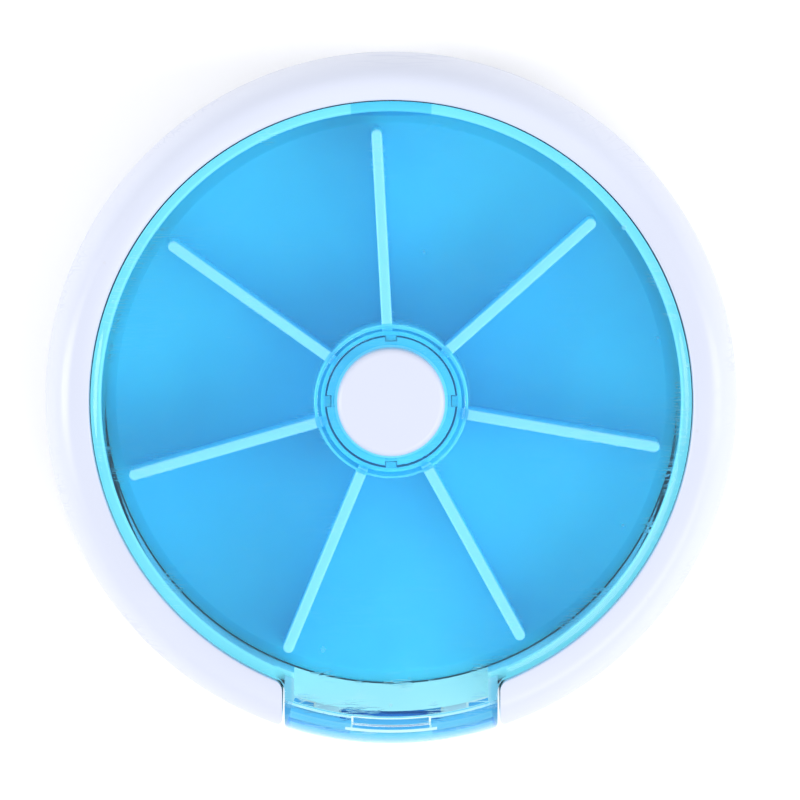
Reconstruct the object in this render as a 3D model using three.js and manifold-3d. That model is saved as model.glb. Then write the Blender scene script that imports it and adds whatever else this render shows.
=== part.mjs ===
// Travel pill organizer: a round case whose seven-compartment tray turns under a clear lid.
// A low door at the front lets the doses of one compartment out over a short chute.
// Millimetres, +Z up, the door at -Y, origin at the centre of the underside.

import * as THREE from 'three';
import { mergeVertices } from 'three/addons/utils/BufferGeometryUtils.js';
import Module from 'manifold-3d';

const wasm = await Module();
wasm.setup();

// ---- Driving dimensions -------------------------------------------------------------------

// White case: a pan below, a rounded ring above
const CASE_RADIUS = 45.0;
const RIM_HEIGHT = 24.0;
const RING_WIDTH = 5.9;
const CREST_SETBACK = 1.9;
const RING_EDGE_DROP = 0.4;
const SPLIT_HEIGHT = 11.5;
const FOOT_INSET = 7.5;
const CASE_WALL = 1.8;
const FLOOR_THICKNESS = 1.8;
const LIP_WALL = 1.4;
const SPIGOT_DEPTH = 4.0;
const WELL_WALL = 1.4;
const ROUNDNESS = 2.4;

// Clear lid
const LID_THICKNESS = 1.5;
const LID_DROP = 0.4;
const LID_SKIRT = 0.9;
const SHOULDER_WIDTH = 2.0;
const SHOULDER_DROP = 0.9;
const HOLE_RADIUS = 7.36;
const DISH_RADIUS = 9.53;
const DISH_SLOPE = 0.83;
const DISH_DEPTH = 1.2;
const DISH_FLOOR = 1.2;
const TONGUE_REACH = 1.9;
const CATCH_WIDTH = 10.3;
const CATCH_DEPTH = 0.8;
const CATCH_DROP = 1.2;
const HOOK_WIDTH = 10.4;
const HOOK_REACH = 1.2;
const HOOK_THICKNESS = 0.8;

// Neck and front door
const NECK_HALF_WIDTH = 12.6;
const NECK_WALL = 1.2;
const NECK_CORNER = 1.7;
const NOTCH_OUTER_CORNER = 1.0;
const CHUTE_STEP = 0.2;
const NECK_RUN_IN = 1.0;
const DOOR_WALL = 1.1;
const DOOR_LIP = 0.8;
const DOOR_LIP_HEIGHT = 5.0;
const DOOR_CORNER = 1.3;
const DOOR_PIN_RADIUS = 0.5;
const DOOR_PIN_SETBACK = 3.4;
const DOOR_PIN_HEIGHT = 2.8;
const KNUCKLE_RADIUS = 1.3;
const KNUCKLE_HALF_LENGTH = 6.5;
const LUG_LENGTH = 3.0;

// Turning tray
const COMPARTMENTS = 7;
const FIRST_DIVIDER_DEG = 93.1;
const TRAY_FLOOR = 1.4;
const TRAY_EDGE_WIDTH = 1.5;
const TRAY_EDGE_DROP = 0.7;
const DIVIDER_THICKNESS = 1.4;
const DIVIDER_SETBACK = 2.1;
const DIVIDER_HEADROOM = 0.5;
const HUB_RADIUS = 10.0;
const HUB_WALL = 1.3;
const BOSS_RADIUS = 6.0;
const BOSS_FLATS = 10.4;
const KEY_COUNT = 4;
const KEY_WIDTH = 1.4;
const KEY_DEPTH = 0.8;

// Indexing under the tray
const WHEEL_RADIUS = 13.0;
const WHEEL_THICKNESS = 1.6;
const NOTCH_RADIUS = 1.2;
const LEAF_THICKNESS = 0.5;
const LEAF_HEIGHT = 1.4;
const LEAF_SETBACK = 2.4;
const LEAF_HALF_ANGLE = 28;
const LEAF_BUMP_HALF_ANGLE = 5;
const LEAF_POST_RADIUS = 0.7;
const LEAF_POST_ANGLE = 24;

// Spindle, screw, washer
const SPINDLE_RADIUS = 3.2;
const SCREW_RADIUS = 1.1;
const SCREW_HEAD_RADIUS = 2.3;
const SCREW_HEAD_HEIGHT = 1.5;
const SCREW_RECESS = 0.8;
const SCREW_SLOT = 0.6;
const WASHER_RADIUS = 4.5;
const WASHER_THICKNESS = 0.8;

// Hub button and its spring
const BUTTON_PLAY = 0.36;
const BUTTON_PROUD = 1.4;
const BUTTON_PLATE = 1.4;
const BUTTON_WALL = 1.0;
const BUTTON_EDGE = 0.8;
const FLANGE_THICKNESS = 1.2;
const WIRE_RADIUS = 0.3;
const SPRING_TURNS = 7;

// Clearances
const FIT_GAP = 0.3;
const STACK_GAP = 0.15;
const PIN_PLAY = 0.15;
const LID_GAP = 0.3;
const LID_SEAT_GAP = 0.6;
const SIDE_GAP = 0.35;
const TRAY_GAP = 0.5;
const TRAY_EDGE_GAP = 0.3;

// Fineness of the round shapes
const RIM_SEGMENTS = 64;
const SMALL_SEGMENTS = 32;
const PIN_SEGMENTS = 16;
const CURVE_STEPS = 6;

// ---- Sizes that follow --------------------------------------------------------------------

const boreRadius = CASE_RADIUS - RING_WIDTH;
const crestRadius = boreRadius + CREST_SETBACK;
const lidRadius = boreRadius - LID_GAP;
const wellRadius = lidRadius - WELL_WALL;
const tongueRadius = boreRadius + TONGUE_REACH;
const doorInner = tongueRadius + FIT_GAP;
const footRadius = CASE_RADIUS - FOOT_INSET;

const lidTop = RIM_HEIGHT - LID_DROP;
const lidUnder = lidTop - LID_THICKNESS;
const skirtBottom = lidUnder - LID_SKIRT;
const dishTop = lidTop - DISH_DEPTH;
const collarBottom = dishTop - DISH_FLOOR;
const collarRadius = DISH_RADIUS + FIT_GAP;
const wellTop = skirtBottom - LID_SEAT_GAP;
const panTop = SPLIT_HEIGHT - FIT_GAP;

const wheelBottom = FLOOR_THICKNESS + TRAY_GAP;
const trayBottom = wheelBottom + WHEEL_THICKNESS + FIT_GAP;
const floorTop = trayBottom + TRAY_FLOOR;
const trayRadius = wellRadius - TRAY_EDGE_GAP;
const dividerReach = wellRadius - DIVIDER_SETBACK;
const dividerTop = lidUnder - DIVIDER_HEADROOM;
const hubBore = HUB_RADIUS - HUB_WALL;
const hubTop = collarBottom - TRAY_GAP;
const bearingBore = SPINDLE_RADIUS + FIT_GAP;

const postTop = floorTop + FIT_GAP;
const washerBottom = postTop + STACK_GAP;
const headBottom = washerBottom + WASHER_THICKNESS + STACK_GAP;
const screwHole = SCREW_RADIUS + FIT_GAP;

const neckOuter = NECK_HALF_WIDTH + NECK_WALL;
const notchHalf = neckOuter + SIDE_GAP;
const neckTop = lidUnder - FIT_GAP;
const neckBack = -Math.sqrt(wellRadius ** 2 - notchHalf ** 2) + NECK_RUN_IN;
const tongueBack = neckBack + SHOULDER_WIDTH + NECK_CORNER;
const chuteTop = floorTop - CHUTE_STEP;
const pinY = -(CASE_RADIUS - DOOR_PIN_SETBACK);
const hingeClear = KNUCKLE_RADIUS + FIT_GAP;
const doorBottom = DOOR_PIN_HEIGHT - FIT_GAP;
const lugStart = KNUCKLE_HALF_LENGTH + FIT_GAP;

const buttonRadius = HOLE_RADIUS - BUTTON_PLAY;
const buttonTop = lidTop + BUTTON_PROUD;
const plateUnder = buttonTop - BUTTON_PLATE;
const buttonBore = buttonRadius - BUTTON_WALL;
const flangeRadius = hubBore - FIT_GAP;
const flangeTop = collarBottom - 2 * FIT_GAP;
const springRadius = buttonBore - FIT_GAP - WIRE_RADIUS;

// ---- Materials ----------------------------------------------------------------------------

function plastic(color, roughness, opacity = 1) {
  return new THREE.MeshStandardMaterial({
    color, roughness, metalness: 0, opacity, transparent: opacity < 1,
  });
}

function steel(color, roughness) {
  return new THREE.MeshStandardMaterial({ color, roughness, metalness: 1 });
}

const whitePlastic = () => plastic(0xe8ecf8, 0.35);
const naturalPlastic = () => plastic(0xf2efe6, 0.5);
const clearBlue = () => plastic(0x7fdcfb, 0.1, 0.45);
const trayBlue = () => plastic(0x52b8ee, 0.3);

// ---- Solids -------------------------------------------------------------------------------

// Faces are turned outwards and the triangles that a pole leaves flat are dropped.
function closedIndex(geometry) {
  const spots = geometry.attributes.position;
  const corners = [0, 1, 2].map(() => new THREE.Vector3());
  const kept = [];
  let volume = 0;
  for (let i = 0; i < geometry.index.count; i += 3) {
    const ids = [0, 1, 2].map((k) => geometry.index.getX(i + k));
    if (new Set(ids).size < 3) continue;
    ids.forEach((id, k) => corners[k].fromBufferAttribute(spots, id));
    volume += corners[0].dot(corners[1].clone().cross(corners[2]));
    kept.push(ids);
  }
  const outward = volume < 0 ? kept.map((ids) => [ids[0], ids[2], ids[1]]) : kept;
  return new Uint32Array(outward.flat());
}

function solid(geometry) {
  const bare = geometry.clone();
  bare.deleteAttribute('normal');
  bare.deleteAttribute('uv');
  const merged = mergeVertices(bare, 1e-4);
  return new wasm.Manifold(new wasm.Mesh({
    numProp: 3,
    vertProperties: new Float32Array(merged.attributes.position.array),
    triVerts: closedIndex(merged),
  }));
}

// A solid of revolution about Z from [radius, height] points. It starts and ends on the axis,
// or closes on its own first point.
function turned(profile, segments = RIM_SEGMENTS) {
  const onAxis = profile[0][0] === 0;
  const loop = onAxis ? profile : [...profile, profile[0]];
  const points = loop.map(([radius, height]) => new THREE.Vector2(radius, height));
  return solid(new THREE.LatheGeometry(points, segments).rotateX(Math.PI / 2));
}

function disc(radius, bottom, top, segments = RIM_SEGMENTS) {
  const geometry = new THREE.CylinderGeometry(radius, radius, top - bottom, segments);
  return solid(geometry.rotateX(Math.PI / 2).translate(0, 0, (bottom + top) / 2));
}

function block([x0, y0, z0], [x1, y1, z1]) {
  const geometry = new THREE.BoxGeometry(x1 - x0, y1 - y0, z1 - z0);
  return solid(geometry.translate((x0 + x1) / 2, (y0 + y1) / 2, (z0 + z1) / 2));
}

// A round bar along X between x0 and x1.
function bar(radius, x0, x1, y, z) {
  const geometry = new THREE.CylinderGeometry(radius, radius, x1 - x0, PIN_SEGMENTS);
  return solid(geometry.rotateZ(Math.PI / 2).translate((x0 + x1) / 2, y, z));
}

function prism(outline, bottom, top) {
  const options = { depth: top - bottom, bevelEnabled: false };
  return solid(new THREE.ExtrudeGeometry(outline, options).translate(0, 0, bottom));
}

function mirrored(make) {
  return make(1).add(make(-1));
}

function part(name, shape, material) {
  const mesh = shape.getMesh();
  const geometry = new THREE.BufferGeometry();
  geometry.setAttribute('position', new THREE.BufferAttribute(mesh.vertProperties, 3));
  geometry.setIndex(new THREE.BufferAttribute(mesh.triVerts, 1));
  geometry.computeVertexNormals();
  const node = new THREE.Mesh(geometry, material);
  node.name = name;
  return node;
}

// ---- Outlines that several pieces share ---------------------------------------------------

// A quarter of a rounded wall: from its flat end, over centreRadius, to its widest point.
function roundedWall(centreRadius, wide, centreHeight, rise) {
  const points = [];
  for (let step = 0; step <= CURVE_STEPS; step += 1) {
    const turn = (Math.PI / 2) * (step / CURVE_STEPS);
    const out = step === 0 ? 0 : Math.sin(turn) ** (2 / ROUNDNESS);
    const up = step === CURVE_STEPS ? 0 : Math.cos(turn) ** (2 / ROUNDNESS);
    points.push([centreRadius + wide * out, centreHeight + rise * up]);
  }
  return points;
}

function upperWall(inset) {
  const rise = RIM_HEIGHT - SPLIT_HEIGHT - inset;
  return roundedWall(crestRadius, CASE_RADIUS - crestRadius - inset, SPLIT_HEIGHT, rise);
}

function lowerWall(inset, height) {
  return roundedWall(footRadius, CASE_RADIUS - footRadius - inset, height, inset - height);
}

// The centre of a rounded corner: at x, at this distance from the Z axis, on the door's side.
function cornerCentre(x, distance) {
  return { x, y: -Math.sqrt(distance ** 2 - x ** 2) };
}

function arc(x, y, radius, from, to, clockwise = false) {
  return new THREE.EllipseCurve(x, y, radius, radius, from, to, clockwise).getPoints(CURVE_STEPS);
}

// An outline that is the same on both sides of the Y axis, from its points on the +X side.
function symmetric(points) {
  const left = points.map((point) => new THREE.Vector2(-point.x, point.y)).reverse();
  return new THREE.Shape([...left, ...points]);
}

const innerCorner = cornerCentre(notchHalf + NECK_CORNER, boreRadius + NECK_CORNER);
const outerCorner = cornerCentre(notchHalf + NOTCH_OUTER_CORNER, CASE_RADIUS - NOTCH_OUTER_CORNER);
const innerTurn = Math.atan2(-innerCorner.y, -innerCorner.x);

// The plan of the notch at the front of the ring, with its four rounded corners.
function notchOutline() {
  const outerTurn = Math.atan2(outerCorner.y, outerCorner.x);
  const inner = arc(innerCorner.x, innerCorner.y, NECK_CORNER, Math.PI, innerTurn, true);
  const wide = inner[inner.length - 1].x;
  return symmetric([
    new THREE.Vector2(outerCorner.x + NOTCH_OUTER_CORNER, -CASE_RADIUS * 1.2),
    ...arc(outerCorner.x, outerCorner.y, NOTCH_OUTER_CORNER, outerTurn, Math.PI, true),
    ...inner,
    new THREE.Vector2(wide, tongueBack),
  ]);
}

// The plan of the lid's tongue, which flares into the round lid at its two inner corners.
function tongueOutline() {
  const side = Math.asin(neckOuter / tongueRadius) - Math.PI / 2;
  const flare = NECK_CORNER + SIDE_GAP;
  const inner = arc(innerCorner.x, innerCorner.y, flare, Math.PI, innerTurn, true);
  const wide = inner[inner.length - 1].x;
  return symmetric([
    ...arc(0, 0, tongueRadius, -Math.PI / 2, side),
    ...inner,
    new THREE.Vector2(wide, tongueBack),
  ]);
}

// The plan of the door: as wide as the tongue, with its two outer corners rounded.
function doorOutline() {
  const corner = cornerCentre(neckOuter - DOOR_CORNER, CASE_RADIUS - DOOR_CORNER);
  const side = Math.atan2(corner.y, corner.x);
  return symmetric([
    ...arc(0, 0, CASE_RADIUS, -Math.PI / 2, side),
    ...arc(corner.x, corner.y, DOOR_CORNER, side, 0),
    new THREE.Vector2(neckOuter, -doorInner * 0.8),
  ]);
}

// ---- Housing ------------------------------------------------------------------------------

function leafPosts() {
  const middle = WHEEL_RADIUS + LEAF_SETBACK;
  const reach = LEAF_THICKNESS / 2 + FIT_GAP + LEAF_POST_RADIUS;
  const posts = [];
  for (const side of [-1, 1]) {
    for (const step of [-1, 1]) {
      const turn = THREE.MathUtils.degToRad(90 + side * LEAF_POST_ANGLE);
      const radius = middle + step * reach;
      const spot = [radius * Math.cos(turn), radius * Math.sin(turn), 0];
      const top = wheelBottom + LEAF_HEIGHT;
      posts.push(disc(LEAF_POST_RADIUS, FLOOR_THICKNESS / 2, top, PIN_SEGMENTS).translate(spot));
    }
  }
  return posts.reduce((all, post) => all.add(post));
}

function doorLug(side) {
  const x0 = side > 0 ? lugStart : -lugStart - LUG_LENGTH;
  const x1 = x0 + LUG_LENGTH;
  const back = pinY + hingeClear + FIT_GAP + CASE_WALL;
  const web = block(
    [x0, pinY, DOOR_PIN_HEIGHT - KNUCKLE_RADIUS],
    [x1, back, DOOR_PIN_HEIGHT + KNUCKLE_RADIUS],
  );
  const eye = bar(KNUCKLE_RADIUS, x0, x1, pinY, DOOR_PIN_HEIGHT).add(web);
  return eye.subtract(bar(DOOR_PIN_RADIUS + PIN_PLAY, x0 - 1, x1 + 1, pinY, DOOR_PIN_HEIGHT));
}

function basePan() {
  const outside = lowerWall(0, panTop);
  const wide = CASE_RADIUS - CASE_WALL - lidRadius;
  const inside = roundedWall(lidRadius, wide, panTop, FLOOR_THICKNESS - panTop).reverse();
  const shell = turned([
    [0, 0], ...outside, ...inside,
    [lidRadius, wellTop], [wellRadius, wellTop], [wellRadius, FLOOR_THICKNESS],
    [SPINDLE_RADIUS, FLOOR_THICKNESS], [SPINDLE_RADIUS, postTop],
    [screwHole, postTop], [screwHole, FLOOR_THICKNESS], [0, FLOOR_THICKNESS],
  ]);
  const notch = prism(notchOutline(), -1, RIM_HEIGHT).subtract(disc(tongueRadius, -2, RIM_HEIGHT + 1));
  const neck = block([-neckOuter, -tongueRadius, 0], [neckOuter, neckBack, neckTop])
    .intersect(disc(tongueRadius, -1, RIM_HEIGHT).subtract(disc(wellRadius, -2, RIM_HEIGHT + 1)));
  const chute = block(
    [-NECK_HALF_WIDTH, -CASE_RADIUS, chuteTop],
    [NECK_HALF_WIDTH, neckBack, RIM_HEIGHT],
  );
  const hingeRoom = block(
    [-notchHalf, -CASE_RADIUS, -1],
    [notchHalf, pinY + hingeClear + FIT_GAP, DOOR_PIN_HEIGHT + KNUCKLE_RADIUS + FIT_GAP],
  );
  return shell.subtract(notch).add(neck).subtract(chute).subtract(hingeRoom)
    .add(leafPosts()).add(mirrored(doorLug));
}

function ringBezel() {
  const lipRadius = boreRadius + LIP_WALL;
  const innerRise = RIM_HEIGHT - CASE_WALL - SPLIT_HEIGHT;
  const inside = roundedWall(lipRadius, CASE_RADIUS - CASE_WALL - lipRadius, SPLIT_HEIGHT, innerRise);
  const ring = turned([
    ...upperWall(0).reverse(),
    [(crestRadius + boreRadius) / 2, RIM_HEIGHT - RING_EDGE_DROP / 4],
    [boreRadius, RIM_HEIGHT - RING_EDGE_DROP],
    [boreRadius, SPLIT_HEIGHT - SPIGOT_DEPTH], [lipRadius, SPLIT_HEIGHT - SPIGOT_DEPTH],
    ...inside,
  ]);
  const halfSlot = HOOK_WIDTH / 2 + SIDE_GAP;
  const slot = block(
    [-halfSlot, boreRadius * 0.9, skirtBottom - 2 * FIT_GAP],
    [halfSlot, lidRadius + HOOK_REACH + FIT_GAP, skirtBottom + HOOK_THICKNESS + FIT_GAP],
  );
  return ring.subtract(prism(notchOutline(), -1, RIM_HEIGHT + 1)).subtract(slot);
}

function spindleScrew() {
  const headTop = headBottom + SCREW_HEAD_HEIGHT;
  const tip = FLOOR_THICKNESS + FIT_GAP;
  const screw = turned([
    [0, tip], [SCREW_RADIUS * 0.6, tip], [SCREW_RADIUS, tip + SCREW_RADIUS],
    [SCREW_RADIUS, headBottom], [SCREW_HEAD_RADIUS, headBottom],
    [SCREW_HEAD_RADIUS, headBottom + SCREW_HEAD_HEIGHT / 2],
    [SCREW_HEAD_RADIUS * 0.7, headTop], [0, headTop],
  ], PIN_SEGMENTS);
  const reach = SCREW_HEAD_RADIUS * 0.6;
  const slot = block(
    [-reach, -SCREW_SLOT / 2, headTop - SCREW_RECESS],
    [reach, SCREW_SLOT / 2, headTop + 1],
  );
  return screw.subtract(slot).subtract(slot.rotate([0, 0, 90]));
}

function spindleWasher() {
  return disc(WASHER_RADIUS, washerBottom, washerBottom + WASHER_THICKNESS, SMALL_SEGMENTS)
    .subtract(disc(screwHole, washerBottom - 1, headBottom, PIN_SEGMENTS));
}

// A strip bent along an arc, with one bump that reaches in towards the wheel.
function indexSpring() {
  const middle = WHEEL_RADIUS + LEAF_SETBACK;
  const depth = LEAF_SETBACK - LEAF_THICKNESS / 2 - FIT_GAP;
  const steps = 28;
  const edge = (offset) => {
    const points = [];
    for (let step = 0; step <= steps; step += 1) {
      const angle = LEAF_HALF_ANGLE * ((2 * step) / steps - 1);
      const bump = depth * Math.exp(-((angle / LEAF_BUMP_HALF_ANGLE) ** 2));
      const turn = THREE.MathUtils.degToRad(90 + angle);
      const radius = middle - bump + offset;
      points.push(new THREE.Vector2(radius * Math.cos(turn), radius * Math.sin(turn)));
    }
    return points;
  };
  const outer = edge(LEAF_THICKNESS / 2);
  const inner = edge(-LEAF_THICKNESS / 2).reverse();
  return prism(new THREE.Shape([...outer, ...inner]), wheelBottom, wheelBottom + LEAF_HEIGHT);
}

function doorHingePin() {
  const reach = lugStart + LUG_LENGTH - FIT_GAP;
  return bar(DOOR_PIN_RADIUS, -reach, reach, pinY, DOOR_PIN_HEIGHT);
}

// ---- Tray ---------------------------------------------------------------------------------

function divider(index) {
  const half = DIVIDER_THICKNESS / 2;
  const start = hubBore + HUB_WALL / 2;
  const outline = new THREE.Shape([
    new THREE.Vector2(start, -half),
    ...arc(dividerReach - half, 0, half, -Math.PI / 2, Math.PI / 2),
    new THREE.Vector2(start, half),
  ]);
  const turn = FIRST_DIVIDER_DEG - (360 / COMPARTMENTS) * index;
  return prism(outline, floorTop - TRAY_FLOOR / 2, dividerTop).rotate([0, 0, turn]);
}

function bossFlats(gap) {
  const reach = BOSS_RADIUS + 1;
  const half = BOSS_FLATS / 2 + gap;
  return block([-reach, -half, wheelBottom - 1], [reach, half, trayBottom + TRAY_FLOOR / 2]);
}

// The four keys that make the button turn the tray, or with a gap the slots that clear them.
function keys(gap) {
  const half = KEY_WIDTH / 2 + gap;
  const key = block(
    [hubBore - KEY_DEPTH - gap, -half, floorTop - TRAY_FLOOR / 2],
    [hubBore + HUB_WALL / 2, half, hubTop - FIT_GAP + 2 * gap],
  );
  const all = [];
  for (let index = 0; index < KEY_COUNT; index += 1) {
    all.push(key.rotate([0, 0, (360 / KEY_COUNT) * index]));
  }
  return all.reduce((some, one) => some.add(one));
}

function tray() {
  const body = turned([
    [bearingBore, trayBottom], [trayRadius - TRAY_EDGE_DROP, trayBottom],
    [trayRadius, floorTop - TRAY_EDGE_DROP], [trayRadius - TRAY_EDGE_WIDTH, floorTop],
    [HUB_RADIUS, floorTop], [HUB_RADIUS, hubTop], [hubBore, hubTop], [hubBore, floorTop],
    [bearingBore, floorTop],
  ]);
  const boss = disc(BOSS_RADIUS, wheelBottom, trayBottom + TRAY_FLOOR / 2, SMALL_SEGMENTS)
    .intersect(bossFlats(0));
  const bearing = disc(bearingBore, wheelBottom - 1, floorTop + 1, SMALL_SEGMENTS);
  let moulding = body.add(boss).add(keys(0));
  for (let index = 0; index < COMPARTMENTS; index += 1) {
    moulding = moulding.add(divider(index));
  }
  const collarRoom = disc(collarRadius + FIT_GAP, hubTop, RIM_HEIGHT);
  return moulding.subtract(bearing).subtract(collarRoom);
}

function indexWheel() {
  let wheel = disc(WHEEL_RADIUS, wheelBottom, wheelBottom + WHEEL_THICKNESS);
  const notch = disc(NOTCH_RADIUS, wheelBottom - 1, trayBottom + 1, PIN_SEGMENTS)
    .translate([WHEEL_RADIUS + NOTCH_RADIUS / 4, 0, 0]);
  for (let index = 0; index < COMPARTMENTS; index += 1) {
    const turn = FIRST_DIVIDER_DEG + (360 / COMPARTMENTS) * (index + 1 / 2);
    wheel = wheel.subtract(notch.rotate([0, 0, turn]));
  }
  const bore = disc(BOSS_RADIUS + FIT_GAP, wheelBottom - 1, trayBottom + 1, SMALL_SEGMENTS)
    .intersect(bossFlats(FIT_GAP));
  return wheel.subtract(bore);
}

function hubButton() {
  const edge = [];
  for (let step = 0; step <= 3; step += 1) {
    const turn = (Math.PI / 2) * (step / 3);
    const radius = buttonRadius - BUTTON_EDGE * (1 - Math.sin(turn));
    edge.push([radius, buttonTop - BUTTON_EDGE * (1 - Math.cos(turn))]);
  }
  const flangeBottom = flangeTop - FLANGE_THICKNESS;
  const cap = turned([
    [0, buttonTop], ...edge, [buttonRadius, flangeTop], [flangeRadius, flangeTop],
    [flangeRadius, flangeBottom], [buttonBore, flangeBottom], [buttonBore, plateUnder],
    [0, plateUnder],
  ], SMALL_SEGMENTS);
  return cap.subtract(keys(FIT_GAP).intersect(disc(HUB_RADIUS, 0, flangeTop + 1)));
}

class Coil extends THREE.Curve {
  constructor(radius, bottom, top, turns) {
    super();
    Object.assign(this, { radius, bottom, top, turns });
  }

  getPoint(share) {
    const turn = 2 * Math.PI * this.turns * share;
    const height = this.bottom + (this.top - this.bottom) * share;
    return new THREE.Vector3(this.radius * Math.cos(turn), this.radius * Math.sin(turn), height);
  }
}

function buttonSpring() {
  const wire = new THREE.Shape();
  wire.absarc(0, 0, WIRE_RADIUS, 0, 2 * Math.PI, false);
  const bottom = floorTop + FIT_GAP + WIRE_RADIUS;
  const top = plateUnder - FIT_GAP - WIRE_RADIUS;
  return solid(new THREE.ExtrudeGeometry(wire, {
    steps: SPRING_TURNS * 12,
    curveSegments: 3,
    bevelEnabled: false,
    extrudePath: new Coil(springRadius, bottom, top, SPRING_TURNS),
  }));
}

// ---- Lid and door -------------------------------------------------------------------------

function lid() {
  const shoulder = [];
  for (let step = 1; step <= 4; step += 1) {
    const turn = (Math.PI / 2) * (step / 4);
    const radius = lidRadius - SHOULDER_WIDTH * (1 - Math.sin(turn));
    shoulder.push([radius, lidTop - SHOULDER_DROP * (1 - Math.cos(turn))]);
  }
  const plate = turned([
    [HOLE_RADIUS, collarBottom], [HOLE_RADIUS, dishTop], [DISH_RADIUS - DISH_SLOPE, dishTop],
    [DISH_RADIUS, lidTop], [lidRadius - SHOULDER_WIDTH, lidTop], ...shoulder,
    [lidRadius, skirtBottom], [wellRadius, skirtBottom], [wellRadius, lidUnder],
    [collarRadius, lidUnder], [collarRadius - FIT_GAP, collarBottom],
  ]);
  const frontSkirt = block(
    [-notchHalf, -CASE_RADIUS, skirtBottom - 1],
    [notchHalf, neckBack, lidUnder],
  );
  const halfCatch = CATCH_WIDTH / 2;
  const catchBar = block([-halfCatch, -CASE_RADIUS, lidUnder - CATCH_DROP], [halfCatch, 0, lidTop])
    .intersect(disc(tongueRadius, 0, RIM_HEIGHT))
    .subtract(disc(tongueRadius - CATCH_DEPTH, -1, RIM_HEIGHT + 1));
  const hookTop = skirtBottom + HOOK_THICKNESS;
  const hook = block(
    [-HOOK_WIDTH / 2, wellRadius - FIT_GAP, skirtBottom],
    [HOOK_WIDTH / 2, lidRadius + HOOK_REACH, hookTop],
  );
  const root = block(
    [-HOOK_WIDTH / 2, wellRadius - FIT_GAP, skirtBottom],
    [HOOK_WIDTH / 2, lidRadius - FIT_GAP, lidUnder + LID_THICKNESS / 2],
  ).intersect(disc(lidRadius, 0, RIM_HEIGHT));
  return plate.subtract(frontSkirt).add(prism(tongueOutline(), lidUnder, lidTop))
    .add(catchBar).add(hook).add(root);
}

// The case's own rounded wall, as a filled section between two heights.
function wallSection(inset, innerRadius, bottom, top) {
  const upper = upperWall(inset).filter(([radius]) => radius > innerRadius);
  const lower = lowerWall(inset, SPLIT_HEIGHT).reverse().slice(1)
    .filter(([radius, height]) => radius > innerRadius && height > bottom);
  const low = lower[lower.length - 1];
  return turned([
    [innerRadius, top], ...upper, ...lower, [low[0], bottom], [innerRadius, bottom],
  ]);
}

function doorShell() {
  const outside = wallSection(0, doorInner, doorBottom, RIM_HEIGHT)
    .intersect(prism(doorOutline(), 0, RIM_HEIGHT + 1));
  const halfInside = neckOuter - DOOR_WALL;
  const hollow = wallSection(DOOR_WALL, doorInner - 1, doorBottom - 1, RIM_HEIGHT - DOOR_WALL)
    .intersect(block([-halfInside, -CASE_RADIUS, 0], [halfInside, 0, RIM_HEIGHT]));
  return outside.subtract(hollow);
}

// An upright lip along the door's inner edge, set back at the middle to leave a nail notch.
function doorLip() {
  const bottom = RIM_HEIGHT - DOOR_LIP_HEIGHT;
  const top = RIM_HEIGHT - DOOR_WALL / 2;
  const band = (inner) => disc(inner + DOOR_LIP, bottom, top)
    .subtract(disc(inner, bottom - 1, top + 1));
  const halfCatch = CATCH_WIDTH / 2;
  const middle = block([-halfCatch - DOOR_LIP, -CASE_RADIUS, 0], [halfCatch + DOOR_LIP, 0, RIM_HEIGHT]);
  const across = block([-neckOuter + FIT_GAP, -CASE_RADIUS, 0], [neckOuter - FIT_GAP, 0, RIM_HEIGHT]);
  return band(doorInner).intersect(across).add(band(doorInner + DOOR_LIP).intersect(middle));
}

function frontDoor() {
  const halfCatch = CATCH_WIDTH / 2;
  const nailNotch = block([-halfCatch, -CASE_RADIUS, doorBottom], [halfCatch, 0, RIM_HEIGHT + 1])
    .intersect(disc(doorInner + DOOR_LIP, doorBottom, RIM_HEIGHT + 1));
  const knuckle = bar(KNUCKLE_RADIUS, -KNUCKLE_HALF_LENGTH, KNUCKLE_HALF_LENGTH, pinY, DOOR_PIN_HEIGHT);
  const lugRoom = mirrored((side) => {
    const near = KNUCKLE_HALF_LENGTH * side;
    const far = (lugStart + LUG_LENGTH + FIT_GAP) * side;
    const [x0, x1] = [Math.min(near, far), Math.max(near, far)];
    const webRoom = block(
      [x0, pinY, DOOR_PIN_HEIGHT - hingeClear],
      [x1, pinY + 2 * hingeClear, DOOR_PIN_HEIGHT + hingeClear],
    );
    return bar(hingeClear, x0, x1, pinY, DOOR_PIN_HEIGHT).add(webRoom);
  });
  const bore = bar(DOOR_PIN_RADIUS + PIN_PLAY, -neckOuter, neckOuter, pinY, DOOR_PIN_HEIGHT);
  return doorShell().add(doorLip()).subtract(nailNotch).subtract(lugRoom)
    .add(knuckle).subtract(bore);
}

// ---- Assembly -----------------------------------------------------------------------------

const housing = new THREE.Group().add(
  part('base_pan', basePan(), whitePlastic()),
  part('ring_bezel', ringBezel(), whitePlastic()),
  part('spindle_screw', spindleScrew(), steel(0xb8bcc2, 0.35)),
  part('spindle_washer', spindleWasher(), steel(0xc4c8cc, 0.3)),
  part('index_spring', indexSpring(), steel(0xaeb2b8, 0.3)),
  part('door_hinge_pin', doorHingePin(), steel(0xc0c4c8, 0.25)),
);

const carousel = new THREE.Group().add(
  part('tray', tray(), trayBlue()),
  part('index_wheel', indexWheel(), naturalPlastic()),
  part('button_spring', buttonSpring(), steel(0xa8acb2, 0.3)),
  part('hub_button', hubButton(), whitePlastic()),
);

const covers = new THREE.Group().add(
  part('lid', lid(), clearBlue()),
  part('front_door', frontDoor(), clearBlue()),
);

const organizer = new THREE.Group().add(housing, carousel, covers);
organizer.name = 'travel_pill_organizer';

export default organizer;
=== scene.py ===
"""Travel pill organizer: white case, clear blue lid and front door, seven-part turning tray."""

import math

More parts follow.
